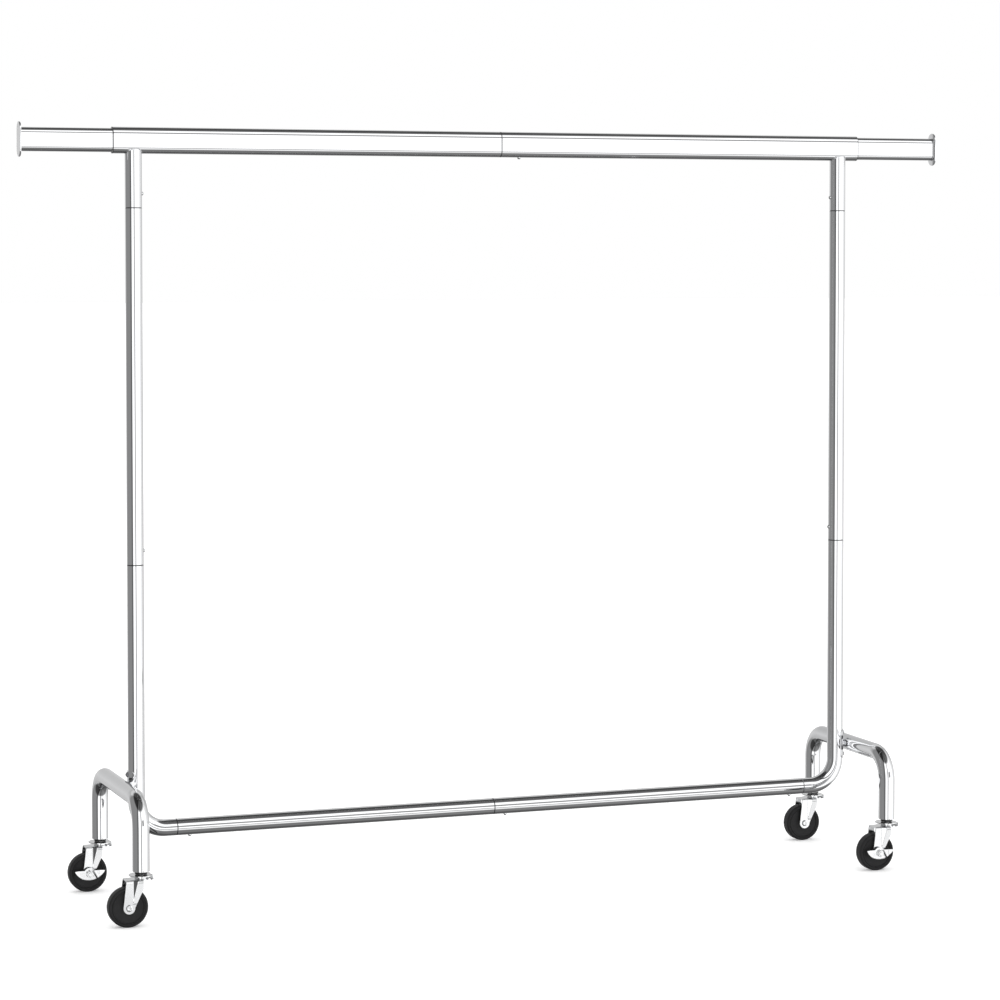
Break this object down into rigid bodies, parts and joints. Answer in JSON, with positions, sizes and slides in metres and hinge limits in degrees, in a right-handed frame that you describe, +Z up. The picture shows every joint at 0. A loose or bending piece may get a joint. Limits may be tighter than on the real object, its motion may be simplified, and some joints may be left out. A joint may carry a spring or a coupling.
{
  "type": "rolling clothes rack",
  "caption": "Chromed tubular rolling clothes rack with telescopic hanging rail, snap-button joints and swivel casters, some braked.",
  "frame": {"origin": "on the floor, midway between the two posts and in the plane of their axes", "axes": "+X along the hanging rail towards the right post, +Y to the back of the rack (the brake levers face -Y), +Z up"},
  "size_m": [1.906, 0.3928, 1.487],
  "materials": {
    "chrome_plate": "bright chrome plate on steel tube",
    "zinc_plate": "bright zinc plate on stamped steel",
    "plain_steel": "plain bright steel",
    "hard_rubber": "satin black moulded hard rubber",
    "black_plastic": "satin black moulded plastic",
    "white_nylon": "natural white nylon"
  },
  "bodies": {
    "root": {"top_sleeve_left": "chrome_plate", "top_sleeve_right": "chrome_plate", "mouth_bush_left": "white_nylon", "mouth_bush_right": "white_nylon", "middle_post_left": "chrome_plate", "middle_post_right": "chrome_plate", "lower_post_left": "chrome_plate", "lower_post_right": "chrome_plate", "bottom_rail_left": "chrome_plate", "bottom_rail_right": "chrome_plate", "leg_left": "chrome_plate", "leg_right": "chrome_plate", "leg_bracket_left": "chrome_plate", "leg_bracket_right": "chrome_plate", "bracket_bolts": "plain_steel", "weld_nuts": "plain_steel", "button_springs": "plain_steel", "bearing_balls": "plain_steel", "socket_front_left": "black_plastic", "socket_rear_left": "black_plastic", "socket_front_right": "black_plastic", "socket_rear_right": "black_plastic", "stem_front_left": "zinc_plate", "stem_rear_left": "zinc_plate", "stem_front_right": "zinc_plate", "stem_rear_right": "zinc_plate"},
    "rod_left": {"extension_rod_left": "chrome_plate", "end_plate_left": "chrome_plate", "rod_glide_left": "white_nylon"},
    "rod_right": {"extension_rod_right": "chrome_plate", "end_plate_right": "chrome_plate", "rod_glide_right": "white_nylon"},
    "caster_front_left": {"fork_front_left": "zinc_plate", "axle_front_left": "zinc_plate", "wheel_bush_front_left": "plain_steel"},
    "wheel_front_left": {"wheel_front_left": "hard_rubber"},
    "caster_rear_left": {"fork_rear_left": "zinc_plate", "axle_rear_left": "zinc_plate", "wheel_bush_rear_left": "plain_steel"},
    "wheel_rear_left": {"wheel_rear_left": "hard_rubber"},
    "caster_front_right": {"fork_front_right": "zinc_plate", "axle_front_right": "zinc_plate", "wheel_bush_front_right": "plain_steel"},
    "wheel_front_right": {"wheel_front_right": "hard_rubber"},
    "caster_rear_right": {"fork_rear_right": "zinc_plate", "axle_rear_right": "zinc_plate", "wheel_bush_rear_right": "plain_steel"},
    "wheel_rear_right": {"wheel_rear_right": "hard_rubber"},
    "lever_rear_left": {"brake_lever_rear_left": "zinc_plate"},
    "lever_front_right": {"brake_lever_front_right": "zinc_plate"},
    "button_rail_middle": {"button_rail_middle": "zinc_plate"},
    "button_upper_left": {"button_upper_left": "zinc_plate"},
    "button_upper_right": {"button_upper_right": "zinc_plate"},
    "button_lower_left": {"button_lower_left": "zinc_plate"},
    "button_lower_right": {"button_lower_right": "zinc_plate"},
    "button_foot_left": {"button_foot_left": "zinc_plate"},
    "button_foot_right": {"button_foot_right": "zinc_plate"},
    "button_bottom_middle": {"button_bottom_middle": "zinc_plate"}
  },
  "joints": [
    {"name": "rod_left_slide", "type": "slide", "parent": "root", "child": "rod_left", "axis": [1, 0, 0], "range_m": [0, 0.173]},
    {"name": "rod_right_slide", "type": "slide", "parent": "root", "child": "rod_right", "axis": [-1, 0, 0], "range_m": [0, 0.173]},
    {"name": "front_left_swivel", "type": "hinge", "parent": "root", "child": "caster_front_left", "pos_m": [-0.7675, -0.17, 0.095], "axis": [0, 0, 1], "continuous": true},
    {"name": "front_left_roll", "type": "hinge", "parent": "caster_front_left", "child": "wheel_front_left", "pos_m": [-0.7935, -0.17, 0.0375], "axis": [0, 1, 0], "continuous": true},
    {"name": "rear_left_swivel", "type": "hinge", "parent": "root", "child": "caster_rear_left", "pos_m": [-0.7675, 0.17, 0.095], "axis": [0, 0, 1], "continuous": true},
    {"name": "rear_left_roll", "type": "hinge", "parent": "caster_rear_left", "child": "wheel_rear_left", "pos_m": [-0.7935, 0.17, 0.0375], "axis": [0, 1, 0], "continuous": true},
    {"name": "front_right_swivel", "type": "hinge", "parent": "root", "child": "caster_front_right", "pos_m": [0.7675, -0.17, 0.095], "axis": [0, 0, 1], "continuous": true},
    {"name": "front_right_roll", "type": "hinge", "parent": "caster_front_right", "child": "wheel_front_right", "pos_m": [0.7415, -0.17, 0.0375], "axis": [0, 1, 0], "continuous": true},
    {"name": "rear_right_swivel", "type": "hinge", "parent": "root", "child": "caster_rear_right", "pos_m": [0.7675, 0.17, 0.095], "axis": [0, 0, 1], "continuous": true},
    {"name": "rear_right_roll", "type": "hinge", "parent": "caster_rear_right", "child": "wheel_rear_right", "pos_m": [0.7415, 0.17, 0.0375], "axis": [0, 1, 0], "continuous": true},
    {"name": "rear_left_brake", "type": "hinge", "parent": "caster_rear_left", "child": "lever_rear_left", "pos_m": [-0.7935, 0.17, 0.0375], "axis": [0, -1, 0], "range_deg": [0, 18]},
    {"name": "front_right_brake", "type": "hinge", "parent": "caster_front_right", "child": "lever_front_right", "pos_m": [0.7415, -0.17, 0.0375], "axis": [0, -1, 0], "range_deg": [0, 18]},
    {"name": "button_rail_middle_press", "type": "slide", "parent": "root", "child": "button_rail_middle", "axis": [0, 0, 1], "range_m": [0, 0.0047], "stiffness_N_per_m": 800, "springref_m": -0.002},
    {"name": "button_upper_left_press", "type": "slide", "parent": "root", "child": "button_upper_left", "axis": [-1, 0, 0], "range_m": [0, 0.0047], "stiffness_N_per_m": 800, "springref_m": -0.002},
    {"name": "button_upper_right_press", "type": "slide", "parent": "root", "child": "button_upper_right", "axis": [1, 0, 0], "range_m": [0, 0.0047], "stiffness_N_per_m": 800, "springref_m": -0.002},
    {"name": "button_lower_left_press", "type": "slide", "parent": "root", "child": "button_lower_left", "axis": [-1, 0, 0], "range_m": [0, 0.0047], "stiffness_N_per_m": 800, "springref_m": -0.002},
    {"name": "button_lower_right_press", "type": "slide", "parent": "root", "child": "button_lower_right", "axis": [1, 0, 0], "range_m": [0, 0.0047], "stiffness_N_per_m": 800, "springref_m": -0.002},
    {"name": "button_foot_left_press", "type": "slide", "parent": "root", "child": "button_foot_left", "axis": [0, 0, 1], "range_m": [0, 0.0047], "stiffness_N_per_m": 800, "springref_m": -0.002},
    {"name": "button_foot_right_press", "type": "slide", "parent": "root", "child": "button_foot_right", "axis": [0, 0, 1], "range_m": [0, 0.0047], "stiffness_N_per_m": 800, "springref_m": -0.002},
    {"name": "button_bottom_middle_press", "type": "slide", "parent": "root", "child": "button_bottom_middle", "axis": [0, 0, 1], "range_m": [0, 0.0047], "stiffness_N_per_m": 800, "springref_m": -0.002}
  ]
}
